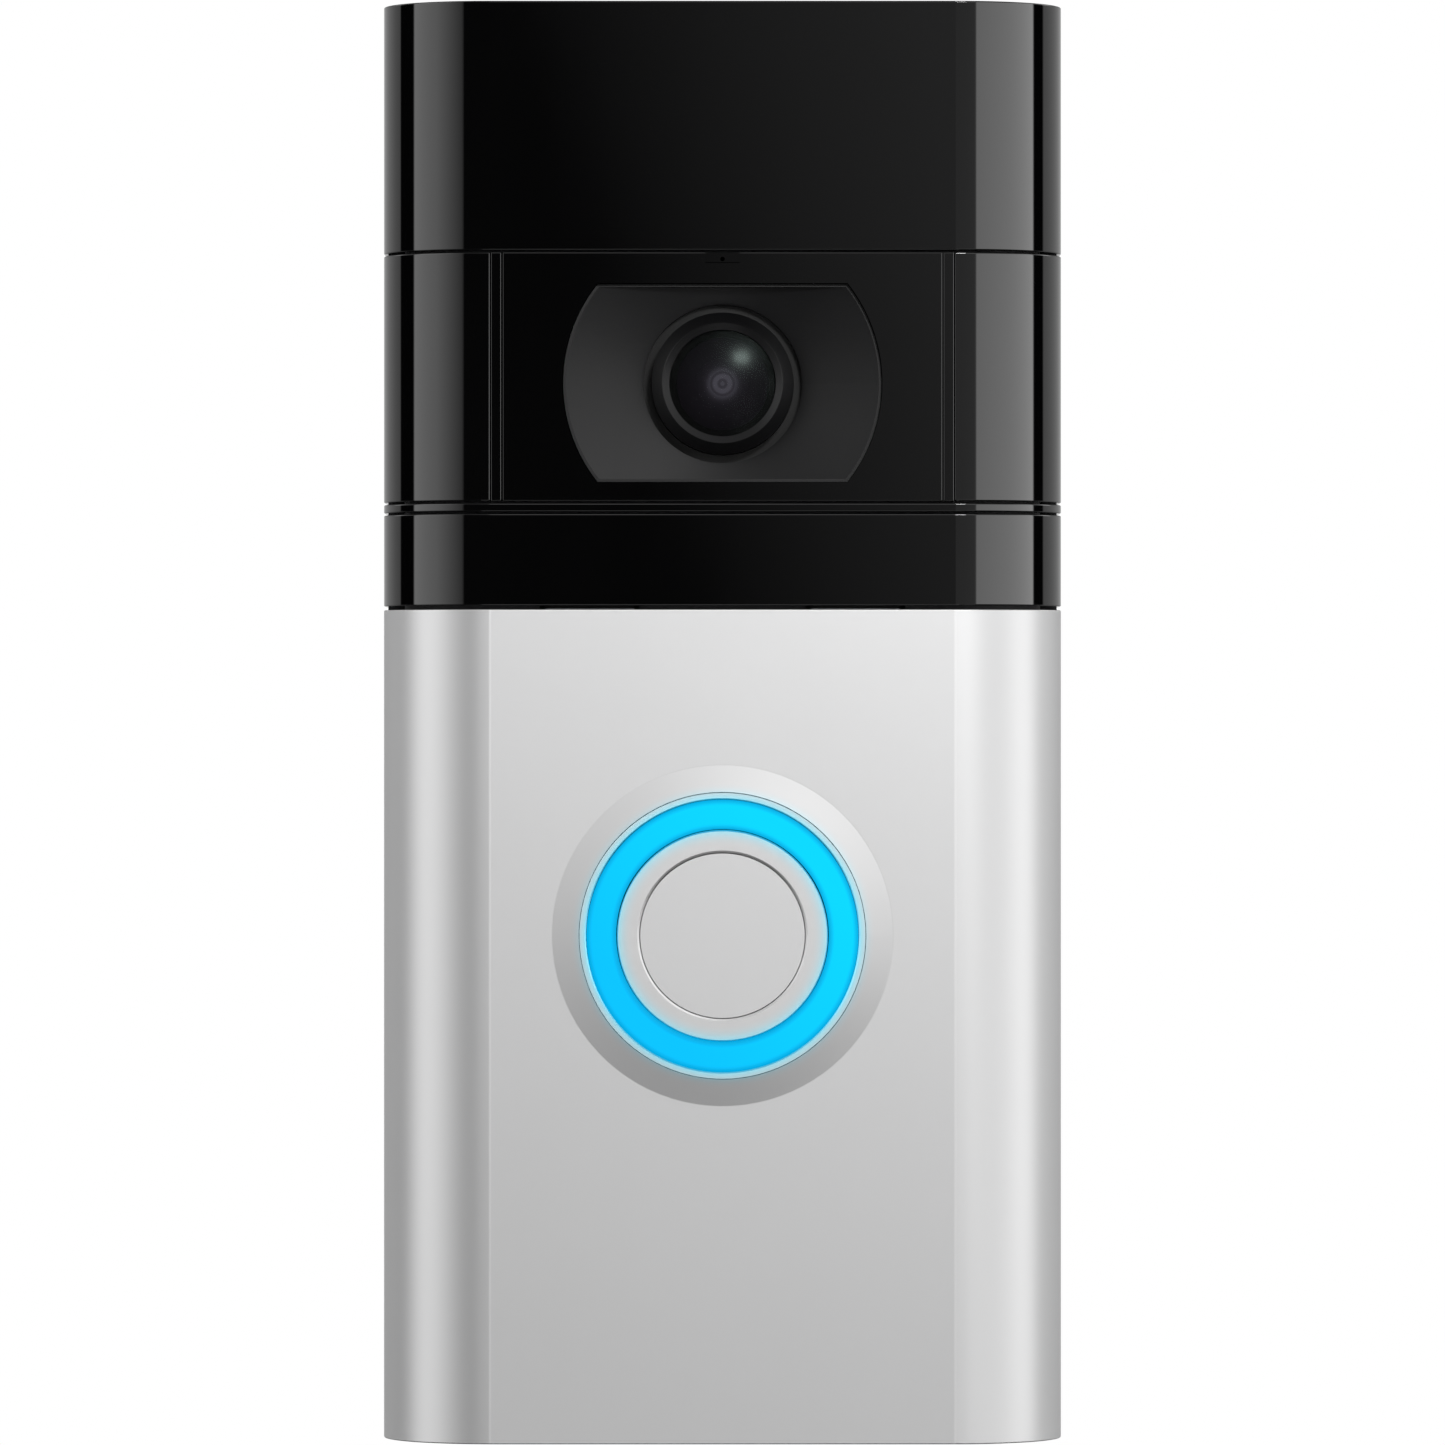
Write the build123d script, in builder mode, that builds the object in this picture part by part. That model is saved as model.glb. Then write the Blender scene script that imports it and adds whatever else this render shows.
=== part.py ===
"""A battery video doorbell for a wall, in millimetres.

The wall is the plane y = 0, +Z is up and +X is to the right of someone facing the doorbell.
Depths are measured forward from the wall, so a depth of 10 is the plane y = -10.
Plane.XZ.offset(depth) draws on such a plane, and a positive extrusion comes towards the visitor.
"""

import math
import os

from build123d import *

# Overall size
width = 61.6
height = 130.0
face_depth = 27.2
corner_radius = 9.8
skin = 1.6
gap = 0.3
seam = 0.2
edge_round = 0.11

half_width = width / 2
half_height = height / 2
flat_half = half_width - corner_radius
shoulder = face_depth - corner_radius
skin_rear = face_depth - skin
inset = skin + gap
cut_rear = 10  # cuts through the front start here, well behind it
cut_front = 40  # and end here, well in front of it

# Rear housing, with the flange that lies on the wall
flange_depth = 5.7
side_rear = flange_depth + gap
back_wall = 2.2
tub_front = 16.4
chassis_rear = 17.2
bay_front = 17.8
wall = 1.6
tub_half = half_width - inset
chassis_front = face_depth - inset
deck = 1.5
deck_rear = chassis_front - deck
tub_top = half_height - inset

# Bands of the front, from the top down
cap_bottom = 42.55
band_top = cap_bottom - seam
band_bottom = 19.95
strip_top = band_bottom - seam
strip_bottom = 19.0
window_top = strip_bottom - seam
window_bottom = 10.55
plate_top = 10.2

# Camera
camera_z = 30.6
plate_half = 20.85
wing_start = 20.95
groove_x = 19.86
groove_half = 0.08
groove_deep = 0.2
groove_round = 0.07
notch_half = 1.55
notch_low = band_top - 0.9
notch_deep = 0.3
sound_hole = 0.2
sound_z = 41.75
dish_radius = 14.4
dish_half_height = 8.96
dish_lip = 0.3
dish_fit = 0.05
dish_front = face_depth - 0.8
dish_floor = 24.0
dish_rear = 22.8
lens_hole = 7.18
rim_radius = 5.42
rim_front = 26.3
rim_bevel = 0.98
rim_shoulder = 25.2
rim_dip = 0.28
glass_radius = 4.77
glass_rise = 0.61
glass_edge = 25.85
glass_thick = 0.5
barrel_radius = 5.0
barrel_rear = 14.0
camera_board_rear = 11.4

# Doorbell button
button_z = -19.2
cone_radius = 15.35
cone_blend = 0.4
blend_steps = 3
bezel_radius = 12.88
bezel_gap = 0.05
hole_relief = 13.1
tip_bevel = 0.02
button_rise = 0.6
button_front = face_depth + button_rise
band_outer = 12.25
band_inner = 9.6
band_front = button_front - 0.15
collar_outer = 9.5
collar_inner = 7.5
collar_front = button_front - 0.25
disc_radius = 7.45
disc_front = collar_front - 0.12
board_front = 20.3
board_thick = 1.0

# Battery and its bay
bay_half = 20.1
bay_wall = 1.4
bay_outer = bay_half + bay_wall
bay_floor = -60.7
battery_half = 19.8
battery_rear = 2.6
battery_front = 17.5
battery_top = 7.6
bay_top = 10.4
bay_cover_thick = 1.2
case_wall = 1.0
end_cap_top = -62.3
chassis_bottom = end_cap_top
chassis_top = tub_top

# Wall screws and housing screws
column_x = 25.1
wall_screw_z = (-57.0, 4.5)
wall_hole = 2.0
wall_head = 3.2
wall_seat = 3.0
column_radius = 3.8
screw_z = (-31.0, 18.0, 56.0)
screw_radius = 1.1
screw_head = 1.9
screw_tip = 21.0

# Security screw at the bottom edge
lock_depth = 21.3
lock_flange_rear = 18.1
lock_flange = 2.4
lock_web = 0.8
lock_screw = 1.0
lock_head = 2.0
lock_clearance = 0.5

# Motion sensors
sensor_x = (-18.0, 0.0, 18.0)
sensor_z = 15.0

# Faceplate tongues
tongue_x = 12.0
tongue_width = 8.0
tongue_front = 25.1
tongue_rear = 23.9
tongue_top = 13.2

# Infrared lights, wiring terminals, label and speaker slots
infrared_x = 17.0
infrared_z = (22.6, 38.6)
terminal_x = 6.5
terminal_z = 36.0
label_z = -28.0
slot_bottom = 44.0
slot_pitch = 2.2
slot_tall = 1.1
slot_count = 4

# Setup button
setup_x = 17.0
setup_z = -52.0
setup_radius = 2.0

pieces = {}


def plan_section(inward, rear, z):
    """The doorbell's outline seen from above, drawn in from its skin, at height z."""
    half = half_width - inward
    front = face_depth - inward
    radius = corner_radius - inward
    with BuildSketch(Plane.XY.offset(z)) as section:
        with BuildLine():
            Line((-half, -rear), (-half, -shoulder))
            RadiusArc((-half, -shoulder), (-flat_half, -front), -radius)
            Line((-flat_half, -front), (flat_half, -front))
            RadiusArc((flat_half, -front), (half, -shoulder), -radius)
            Line((half, -shoulder), (half, -rear))
            Line((half, -rear), (-half, -rear))
        make_face()
    return section.sketch


def on_skin(edge):
    """Whether an edge lies on the doorbell's outer outline."""
    middle = edge.position_at(0.5)
    across = abs(middle.X)
    depth = -middle.Y
    if depth <= shoulder:
        return abs(across - half_width) < 0.01
    if across <= flat_half:
        return abs(depth - face_depth) < 0.01
    reach = ((across - flat_half) ** 2 + (depth - shoulder) ** 2) ** 0.5
    return abs(reach - corner_radius) < 0.01


def skin_edges(builder, *heights):
    """The outer edges of a skin piece that run round it at the given heights."""
    level = [e for e in builder.edges() if e.length > 0.5 and on_skin(e)]
    return [e for e in level if any(abs(e.center().Z - z) < 0.01 for z in heights)]


def wrap_band(bottom, top):
    """A skin band that wraps from one side over the front to the other side."""
    with BuildPart() as band:
        extrude(plan_section(0, side_rear, bottom), amount=top - bottom)
        extrude(plan_section(skin, side_rear, bottom), amount=top - bottom, mode=Mode.SUBTRACT)
        fillet(skin_edges(band, bottom, top), edge_round)
    return band


def cut_circle(x, z, radius, rear, front):
    """A rod along the depth, for cutting a round hole."""
    with BuildPart(mode=Mode.PRIVATE) as tool:
        with BuildSketch(Plane.XZ.offset(rear)):
            with Locations((x, z)):
                Circle(radius)
        extrude(amount=front - rear)
    return tool.part


def tube(x, z, outer, inner, rear, front):
    """A round tube along the depth. An inner radius of 0 gives a rod."""
    with BuildPart() as piece:
        with BuildSketch(Plane.XZ.offset(rear)):
            with Locations((x, z)):
                Circle(outer)
                if inner:
                    Circle(inner, mode=Mode.SUBTRACT)
        extrude(amount=front - rear)
    return piece


def slab(x, z, wide, tall, rear, front, corner=0.0):
    """A flat plate facing the visitor, centred on x and z."""
    with BuildPart() as piece:
        with BuildSketch(Plane.XZ.offset(rear)):
            with Locations((x, z)):
                if corner:
                    RectangleRounded(wide, tall, corner)
                else:
                    Rectangle(wide, tall)
        extrude(amount=front - rear)
    return piece


def span(x0, x1, rear, front, z0, z1):
    """A plain block between two heights, two depths and two sides."""
    return slab((x0 + x1) / 2, (z0 + z1) / 2, x1 - x0, z1 - z0, rear, front)


def turned(points, z):
    """A piece turned about an axis that runs into the wall at height z: (radius, depth) points."""
    with BuildPart() as piece:
        with BuildSketch(Plane.XY.offset(z)):
            with BuildLine():
                Polyline(*[(radius, -depth) for radius, depth in points], close=True)
            make_face()
        revolve(axis=Axis((0, 0, z), (0, 1, 0)))
    return piece


def group(builders):
    """Separate identical solids kept together as one piece."""
    with BuildPart() as piece:
        for builder in builders:
            add(builder.part)
    return piece


def speaker_slots():
    """The slots in the right side that let the speaker's sound out."""
    with BuildPart(mode=Mode.PRIVATE) as slots:
        for step in range(slot_count):
            low = slot_bottom + slot_pitch * step
            add(span(25, 40, 8, 14, low, low + slot_tall).part)
    return slots.part


def dish_outline(inward, plane_depth):
    """The camera recess seen from the front: a circle cut flat above and below."""
    with BuildSketch(Plane.XZ.offset(plane_depth)) as outline:
        with Locations((0, camera_z)):
            Circle(dish_radius - inward)
            Rectangle(width, 2 * (dish_half_height - inward), mode=Mode.INTERSECT)
    return outline.sketch


# ---------------------------------------------------------------- rear housing
with BuildPart() as rear_housing:
    add(span(-half_width, half_width, 0, flange_depth, -half_height, half_height).part)
    add(span(-tub_half, tub_half, 0, tub_front, -half_height, tub_top).part)
    fillet(
        [
            e
            for e in rear_housing.edges().filter_by(Axis.Z)
            if abs(abs(e.center().X) - half_width) < 0.01 and e.center().Y > -1
        ],
        0.6,
    )
    hollow = tub_half - wall
    add(span(-hollow, hollow, back_wall, tub_front, bay_floor, tub_top - wall).part, mode=Mode.SUBTRACT)
    # The bottom wall reaches forward to the faceplate's bottom flange.
    add(span(-tub_half, tub_half, 10, bay_front, -half_height, chassis_bottom - 0.2).part)
    # Battery bay: two side walls and a top wall stand on the back wall.
    for side in (-1, 1):
        inner_face = side * bay_half
        outer_face = side * bay_outer
        low, high = sorted((inner_face, outer_face))
        add(span(low, high, back_wall, bay_front, bay_floor, bay_top + bay_wall).part)
    add(span(-bay_outer, bay_outer, back_wall, bay_front, bay_top, bay_top + bay_wall).part)
    add(span(-bay_half, bay_half, 2.3, bay_front, -half_height, bay_floor).part, mode=Mode.SUBTRACT)
    # Columns for the wall screws and for the screws that hold the two halves together.
    for side in (-1, 1):
        for z in wall_screw_z:
            add(tube(side * column_x, z, column_radius, 0, 1.0, tub_front).part)
        for z in screw_z:
            add(tube(side * column_x, z, column_radius - 0.6, 0, 1.0, chassis_rear - 0.3).part)
    for side in (-1, 1):
        for z in wall_screw_z:
            add(cut_circle(side * column_x, z, wall_hole, -1, 20), mode=Mode.SUBTRACT)
            add(cut_circle(side * column_x, z, wall_head, wall_seat, 20), mode=Mode.SUBTRACT)
        for z in screw_z:
            add(cut_circle(side * column_x, z, screw_radius + 0.15, -1, 20), mode=Mode.SUBTRACT)
            add(cut_circle(side * column_x, z, screw_head + 0.3, -1, 2.0), mode=Mode.SUBTRACT)
    # Pockets in the back for the two wiring terminals, and a shallow one for the label.
    add(span(-13, 13, back_wall, 5.4, terminal_z - 6, terminal_z + 6).part)
    for side in (-1, 1):
        add(slab(side * terminal_x, terminal_z, 10, 10, -1, 1.6).part, mode=Mode.SUBTRACT)
        add(cut_circle(side * terminal_x, terminal_z, 1.55, 1.6, 5.0), mode=Mode.SUBTRACT)
    add(slab(0, label_z, 34, 16, -1, 0.2, 1.5).part, mode=Mode.SUBTRACT)
    # Speaker slots in the right side.
    add(speaker_slots(), mode=Mode.SUBTRACT)
pieces["rear_housing"] = rear_housing

# --------------------------------------------------------------- front chassis
with BuildPart() as front_chassis:
    extrude(plan_section(inset, chassis_rear, chassis_bottom), amount=chassis_top - chassis_bottom)
    extrude(
        plan_section(inset + deck, chassis_rear, chassis_bottom + deck),
        amount=chassis_top - chassis_bottom - 2 * deck,
        mode=Mode.SUBTRACT,
    )
    # Screw columns, kept inside the curved shell.
    with BuildPart(mode=Mode.PRIVATE) as columns:
        for side in (-1, 1):
            for z in screw_z:
                add(tube(side * column_x, z, column_radius - 0.6, 0, chassis_rear, chassis_front).part)
        extrude(
            plan_section(inset + 0.2, chassis_rear, chassis_bottom),
            amount=chassis_top - chassis_bottom,
            mode=Mode.INTERSECT,
        )
    add(columns.part)
    for side in (-1, 1):
        for z in screw_z:
            add(cut_circle(side * column_x, z, screw_radius + 0.02, 10, screw_tip + 0.4), mode=Mode.SUBTRACT)
        for z in wall_screw_z:
            add(cut_circle(side * column_x, z, wall_head + 0.2, cut_rear, cut_front), mode=Mode.SUBTRACT)
        tongue_side = side * tongue_x
        reach = tongue_width / 2 + 0.5
        add(
            span(tongue_side - reach, tongue_side + reach, deck_rear - 1, 40, 6.6, tongue_top + 0.4).part,
            mode=Mode.SUBTRACT,
        )
    # Boss for the brass insert at the bottom.
    add(span(-3.4, 3.4, 19.1, deck_rear + 0.2, chassis_bottom, chassis_bottom + 4).part)
    # Room for the battery to pass behind the bottom wall.
    add(span(-bay_half, bay_half, 10, bay_front, -70, -60).part, mode=Mode.SUBTRACT)
    with BuildSketch(Plane.XY.offset(chassis_bottom)):
        with Locations((0, -lock_depth)):
            Circle(1.6)
    extrude(amount=3.5, mode=Mode.SUBTRACT)
    # Openings: button, camera dish, microphone, infrared lights, motion sensors, setup button.
    add(cut_circle(0, button_z, 14.1, cut_rear, cut_front), mode=Mode.SUBTRACT)
    extrude(dish_outline(-0.2, 10), amount=30, mode=Mode.SUBTRACT)
    add(cut_circle(0, 41.4, 0.6, cut_rear, cut_front), mode=Mode.SUBTRACT)
    for side in (-1, 1):
        for z in infrared_z:
            add(cut_circle(side * infrared_x, z, 1.9, cut_rear, cut_front), mode=Mode.SUBTRACT)
    for x in sensor_x:
        add(cut_circle(x, sensor_z, 2.8, cut_rear, cut_front), mode=Mode.SUBTRACT)
    add(cut_circle(setup_x, setup_z, setup_radius + 0.15, cut_rear, cut_front), mode=Mode.SUBTRACT)
pieces["front_chassis"] = front_chassis

with BuildPart() as housing_seal:
    seal_half = tub_half - 0.2
    add(span(-seal_half, seal_half, tub_front, chassis_rear, -62.1, tub_top - 0.2).part)
    hollow = seal_half - 1.2
    add(span(-hollow, hollow, 10, 20, -60.9, tub_top - 1.4).part, mode=Mode.SUBTRACT)
    add(span(-22.5, 22.5, 10, 20, -70, -60).part, mode=Mode.SUBTRACT)
    for side in (-1, 1):
        for z in screw_z:
            add(cut_circle(side * column_x, z, column_radius - 0.5, 10, 20), mode=Mode.SUBTRACT)
        for z in wall_screw_z:
            add(cut_circle(side * column_x, z, wall_head + 0.2, 10, 20), mode=Mode.SUBTRACT)
pieces["housing_seal"] = housing_seal

screws = []
for side in (-1, 1):
    for z in screw_z:
        with BuildPart() as screw:
            add(tube(side * column_x, z, screw_radius, 0, 1.9, screw_tip).part)
            add(tube(side * column_x, z, screw_head, 0, 0.5, 1.95).part)
            with BuildSketch(Plane.XZ.offset(0.5)):
                with Locations((side * column_x, z)):
                    RegularPolygon(0.9, 6)
            extrude(amount=0.9, mode=Mode.SUBTRACT)
        screws.append(screw)
pieces["chassis_screws"] = group(screws)

# ------------------------------------------------------------ gloss front skin
with BuildPart() as top_cap:
    extrude(plan_section(0, side_rear, cap_bottom), amount=half_height - cap_bottom)
    cap_inside = half_height - skin - cap_bottom
    extrude(plan_section(skin, side_rear, cap_bottom), amount=cap_inside, mode=Mode.SUBTRACT)
    fillet(skin_edges(top_cap, cap_bottom, half_height), edge_round)
    add(speaker_slots(), mode=Mode.SUBTRACT)
pieces["top_cap"] = top_cap

for name, side in (("left_wing", -1), ("right_wing", 1)):
    with BuildPart() as wing:
        add(wrap_band(band_bottom, band_top).part)
        kept = sorted((side * wing_start, side * 40))
        add(span(kept[0], kept[1], 0, 40, 0, 60).part, mode=Mode.INTERSECT)
        fillet(
            [
                e
                for e in wing.edges().filter_by(Axis.Z)
                if abs(abs(e.center().X) - wing_start) < 0.01 and -e.center().Y > face_depth - 0.1
            ],
            0.1,
        )
    pieces[name] = wing

pieces["divider_strip"] = wrap_band(strip_bottom, strip_top)
pieces["sensor_window"] = wrap_band(window_bottom, window_top)

with BuildPart() as camera_plate:
    middle = (band_top + band_bottom) / 2
    add(slab(0, middle, 2 * plate_half, band_top - band_bottom, skin_rear, face_depth).part)
    front_rim = camera_plate.faces().sort_by(Axis.Y)[0].edges()
    fillet(front_rim, 0.08)
    for side in (-1, 1):
        low_x, high_x = side * groove_x - groove_half, side * groove_x + groove_half
        groove_floor = face_depth - groove_deep
        add(span(low_x, high_x, groove_floor, cut_front, band_bottom - 1, band_top + 1).part, mode=Mode.SUBTRACT)
    groove_edges = [
        e
        for e in camera_plate.edges().filter_by(Axis.Z)
        if abs(abs(e.center().X) - groove_x) < groove_half + 0.01 and abs(e.center().Y + face_depth) < 0.01
    ]
    fillet(groove_edges, groove_round)
    extrude(dish_outline(0, 10), amount=30, mode=Mode.SUBTRACT)
    dish_face = [f for f in camera_plate.faces().filter_by(Axis.Y) if f.inner_wires()][0]
    dish_edge = dish_face.inner_wires()[0].edges()
    chamfer(dish_edge, 0.08)
    # Microphone notch in the top edge, with the sound hole in it.
    notch_rear = face_depth - notch_deep
    add(span(-notch_half, notch_half, notch_rear, cut_front, notch_low, band_top + 1).part, mode=Mode.SUBTRACT)
    notch_edge = [
        e
        for e in camera_plate.edges().filter_by(Axis.X)
        if abs(e.center().Z - notch_low) < 0.01 and abs(e.center().Y + face_depth) < 0.01
    ]
    chamfer(notch_edge, 0.08)
    add(cut_circle(0, sound_z, sound_hole, cut_rear, cut_front), mode=Mode.SUBTRACT)
pieces["camera_plate"] = camera_plate

with BuildPart() as camera_dish:
    extrude(dish_outline(dish_fit, dish_rear), amount=dish_front - dish_rear)
    slope = (dish_front - dish_floor) / (dish_radius - lens_hole)
    bowl_reach = dish_radius - dish_lip
    bowl = turned(
        [
            (0, dish_floor),
            (lens_hole, dish_floor),
            (bowl_reach, dish_front - slope * dish_lip),
            (bowl_reach, 30),
            (0, 30),
        ],
        camera_z,
    )
    with BuildPart(mode=Mode.PRIVATE) as scoop:
        add(bowl.part)
        extrude(dish_outline(dish_lip, 10), amount=30, mode=Mode.INTERSECT)
    add(scoop.part, mode=Mode.SUBTRACT)
    add(cut_circle(0, camera_z, lens_hole, cut_rear, cut_front), mode=Mode.SUBTRACT)
pieces["camera_dish"] = camera_dish

# ---------------------------------------------------------------------- camera
pieces["lens_barrel"] = turned(
    [
        (4.2, barrel_rear),
        (barrel_radius, barrel_rear),
        (barrel_radius, 20.6),
        (rim_radius + rim_bevel, 20.6),
        (rim_radius + rim_bevel, rim_shoulder),
        (rim_radius + 0.06, rim_front - 0.05),
        (rim_radius, rim_front),
        (rim_radius - 0.06, rim_front - 0.03),
        (glass_radius + 0.05, rim_front - rim_dip),
        (glass_radius + 0.05, 24.9),
        (4.2, 24.9),
    ],
    camera_z,
)
with BuildPart() as lens_glass:
    dome_radius = (glass_radius**2 + glass_rise**2) / (2 * glass_rise)
    dome_top = glass_edge + glass_rise
    add(tube(0, camera_z, glass_radius, 0, glass_edge - glass_thick, dome_top + 1).part)
    with Locations((0, dome_radius - dome_top, camera_z)):
        Sphere(dome_radius, mode=Mode.INTERSECT)
pieces["lens_glass"] = lens_glass
lens_stations = ((4.15, 23.2, 24.6), (4.15, 20.4, 21.6), (4.15, 16.4, 17.4))
pieces["lens_elements"] = group([tube(0, camera_z, r, 0, a, b) for r, a, b in lens_stations])
pieces["lens_seal"] = tube(0, camera_z, 8.4, rim_radius + rim_bevel + 0.05, 21.2, dish_rear)
with BuildPart() as lens_holder:
    add(slab(0, camera_z, 13, 13, 12.4, 16.2, 0.8).part)
    add(slab(0, camera_z, 9.4, 8.4, 12, 13.8).part, mode=Mode.SUBTRACT)
    add(cut_circle(0, camera_z, barrel_radius + 0.03, 13, 20), mode=Mode.SUBTRACT)
pieces["lens_holder"] = lens_holder
pieces["image_sensor"] = slab(0, camera_z, 8.0, 6.6, 12.4, 13.2)
pieces["camera_board"] = slab(0, camera_z, 26, 20, camera_board_rear, 12.4, 1.0)
with BuildPart() as infrared_board:
    add(slab(0, camera_z, 38, 20.4, 20.0, 21.0, 1.0).part)
    add(cut_circle(0, camera_z, 8.8, cut_rear, cut_front), mode=Mode.SUBTRACT)
pieces["infrared_board"] = infrared_board
pieces["infrared_lights"] = group(
    [tube(side * infrared_x, z, 1.7, 0, 21.0, 24.6) for side in (-1, 1) for z in infrared_z]
)
pieces["microphone"] = slab(0, 44.0, 4.0, 3.0, 21.6, 22.9)

# ---------------------------------------------------------------- motion sense
with BuildPart() as sensor_lens:
    add(span(-20.8, 20.8, chassis_front + 0.02, skin_rear - 0.05, 14.0, 18.4).part)
pieces["sensor_lens"] = sensor_lens
pieces["motion_sensors"] = group([tube(x, sensor_z, 2.5, 0, 20.6, 24.6) for x in sensor_x])
pieces["sensor_board"] = slab(0, 16.0, 42, 5.4, 19.6, 20.6, 0.6)

# ----------------------------------------------------------------- electronics
with BuildPart() as main_board:
    add(slab(0, 36.5, 42.4, 47.0, 6.4, 7.6, 1.5).part)
pieces["main_board"] = main_board
with BuildPart() as shield_can:
    add(slab(0, 24.0, 22.0, 16.0, 7.6, 10.0, 1.0).part)
    add(slab(0, 24.0, 21.4, 15.4, 7.5, 9.7, 0.7).part, mode=Mode.SUBTRACT)
pieces["shield_can"] = shield_can
chip_places = ((-4.5, 24.5, 8.0, 8.0), (5.0, 25.0, 6.0, 9.0), (-15.5, 24.0, 5.0, 5.0), (15.5, 22.0, 4.0, 6.0))
pieces["board_chips"] = group([slab(x, z, w, t, 7.6, 8.7) for x, z, w, t in chip_places])
connector_places = ((-15.0, 38.0), (15.0, 36.0), (15.5, 30.0))
pieces["board_connectors"] = group([slab(x, z, 8.0, 3.2, 7.6, 9.4) for x, z in connector_places])
with BuildPart() as backup_capacitor:
    with BuildSketch(Plane.XY.offset(41.5)):
        with Locations((-16.5, -11.7)):
            Circle(4.0)
    extrude(amount=17)
    fillet(backup_capacitor.edges().filter_by(GeomType.CIRCLE), 0.6)
pieces["backup_capacitor"] = backup_capacitor
with BuildPart() as speaker:
    add(slab(10.0, 51.0, 20.0, 16.0, 8.0, 13.5, 3.0).part)
    fillet(speaker.faces().sort_by(Axis.Y)[0].edges(), 0.8)
pieces["speaker"] = speaker
pieces["antenna"] = slab(0, 56.0, 30, 7, 22.9, 23.2, 0.8)
with BuildPart() as camera_flex:
    add(span(-19.0, -13.1, 11.7, 11.9, 35.0, 41.0).part)
    add(span(-19.0, -18.8, 9.4, 11.9, 35.0, 41.0).part)
    add(span(-19.0, -11.0, 9.4, 9.6, 35.0, 41.0).part)
pieces["camera_flex"] = camera_flex

# ---------------------------------------------------------------- button stack
pieces["button_bezel"] = turned(
    [
        (band_outer + 0.05, chassis_front + 0.05),
        (bezel_radius, chassis_front + 0.05),
        (bezel_radius, button_front - tip_bevel),
        (bezel_radius - tip_bevel, button_front),
        (band_outer + 0.15, button_front),
        (band_outer + 0.05, button_front - 0.1),
    ],
    button_z,
)
pieces["button_housing"] = turned(
    [
        (12.4, 20.4),
        (13.4, 20.4),
        (13.4, 22.4),
        (14.9, 22.4),
        (14.9, 23.4),
        (13.9, 23.4),
        (13.9, chassis_front),
        (12.4, chassis_front),
    ],
    button_z,
)
pieces["button_seal"] = tube(0, button_z, 15.2, 14.0, 23.42, deck_rear - 0.02)
pieces["light_band"] = turned(
    [
        (band_inner, 24.6),
        (band_outer, 24.6),
        (band_outer, band_front - 0.1),
        (band_outer - 0.25, band_front),
        (band_inner + 0.25, band_front),
        (band_inner, band_front - 0.1),
    ],
    button_z,
)
pieces["light_guide"] = tube(0, button_z, 12.1, 9.8, 21.1, 24.5)
pieces["button_collar"] = turned(
    [
        (8.8, 22.4),
        (collar_outer, 22.4),
        (collar_outer, collar_front - 0.1),
        (collar_outer - 0.1, collar_front),
        (collar_inner + 0.18, collar_front),
        (collar_inner, collar_front - 0.08),
        (collar_inner, 25.7),
        (8.8, 25.7),
    ],
    button_z,
)
pieces["button_disc"] = turned(
    [
        (0, 24.8),
        (8.6, 24.8),
        (8.6, 25.6),
        (disc_radius, 25.6),
        (disc_radius, disc_front - 0.05),
        (disc_radius - 0.05, disc_front),
        (0, disc_front),
    ],
    button_z,
)
pieces["button_plunger"] = turned(
    [(0, 22.3), (1.8, 22.3), (1.8, 24.0), (3.4, 24.0), (3.4, 24.8), (0, 24.8)], button_z
)
with BuildPart() as button_switch:
    add(slab(0, button_z, 6.2, 6.2, board_front, 21.2).part)
    add(tube(0, button_z, 1.5, 0, 21.2, 21.6).part)
pieces["button_switch"] = button_switch
lights = []
with PolarLocations(10.95, 12) as light_places:
    for place in light_places.locations:
        lights.append(slab(place.position.X, button_z + place.position.Y, 1.6, 1.6, board_front, 20.9))
pieces["button_lights"] = group(lights)
pieces["button_board"] = slab(0, -30.0, 40.0, 54.0, board_front - board_thick, board_front, 2.0)
with BuildPart() as button_flex:
    add(span(-15.0, -9.0, 19.3, 19.5, -3.0, 13.0).part)
    add(span(-15.0, -9.0, 9.6, 19.5, 12.8, 13.0).part)
    add(span(-15.0, -9.0, 9.6, 9.8, 12.8, 13.9).part)
    add(span(-15.1, -8.9, 7.6, 9.8, 13.7, 13.9).part)
pieces["button_flex"] = button_flex
with BuildPart() as setup_button:
    add(tube(setup_x, setup_z, setup_radius, 0, 22.4, 25.1).part)
    add(tube(setup_x, setup_z, 2.8, 0, 22.4, 23.2).part)
    fillet(setup_button.edges().filter_by(GeomType.CIRCLE).sort_by(Axis.Y)[0], 0.3)
pieces["setup_button"] = setup_button
with BuildPart() as setup_switch:
    add(slab(setup_x, setup_z, 4.4, 4.4, board_front, 21.4).part)
    add(tube(setup_x, setup_z, 0.9, 0, 21.4, 21.9).part)
pieces["setup_switch"] = setup_switch

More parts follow.
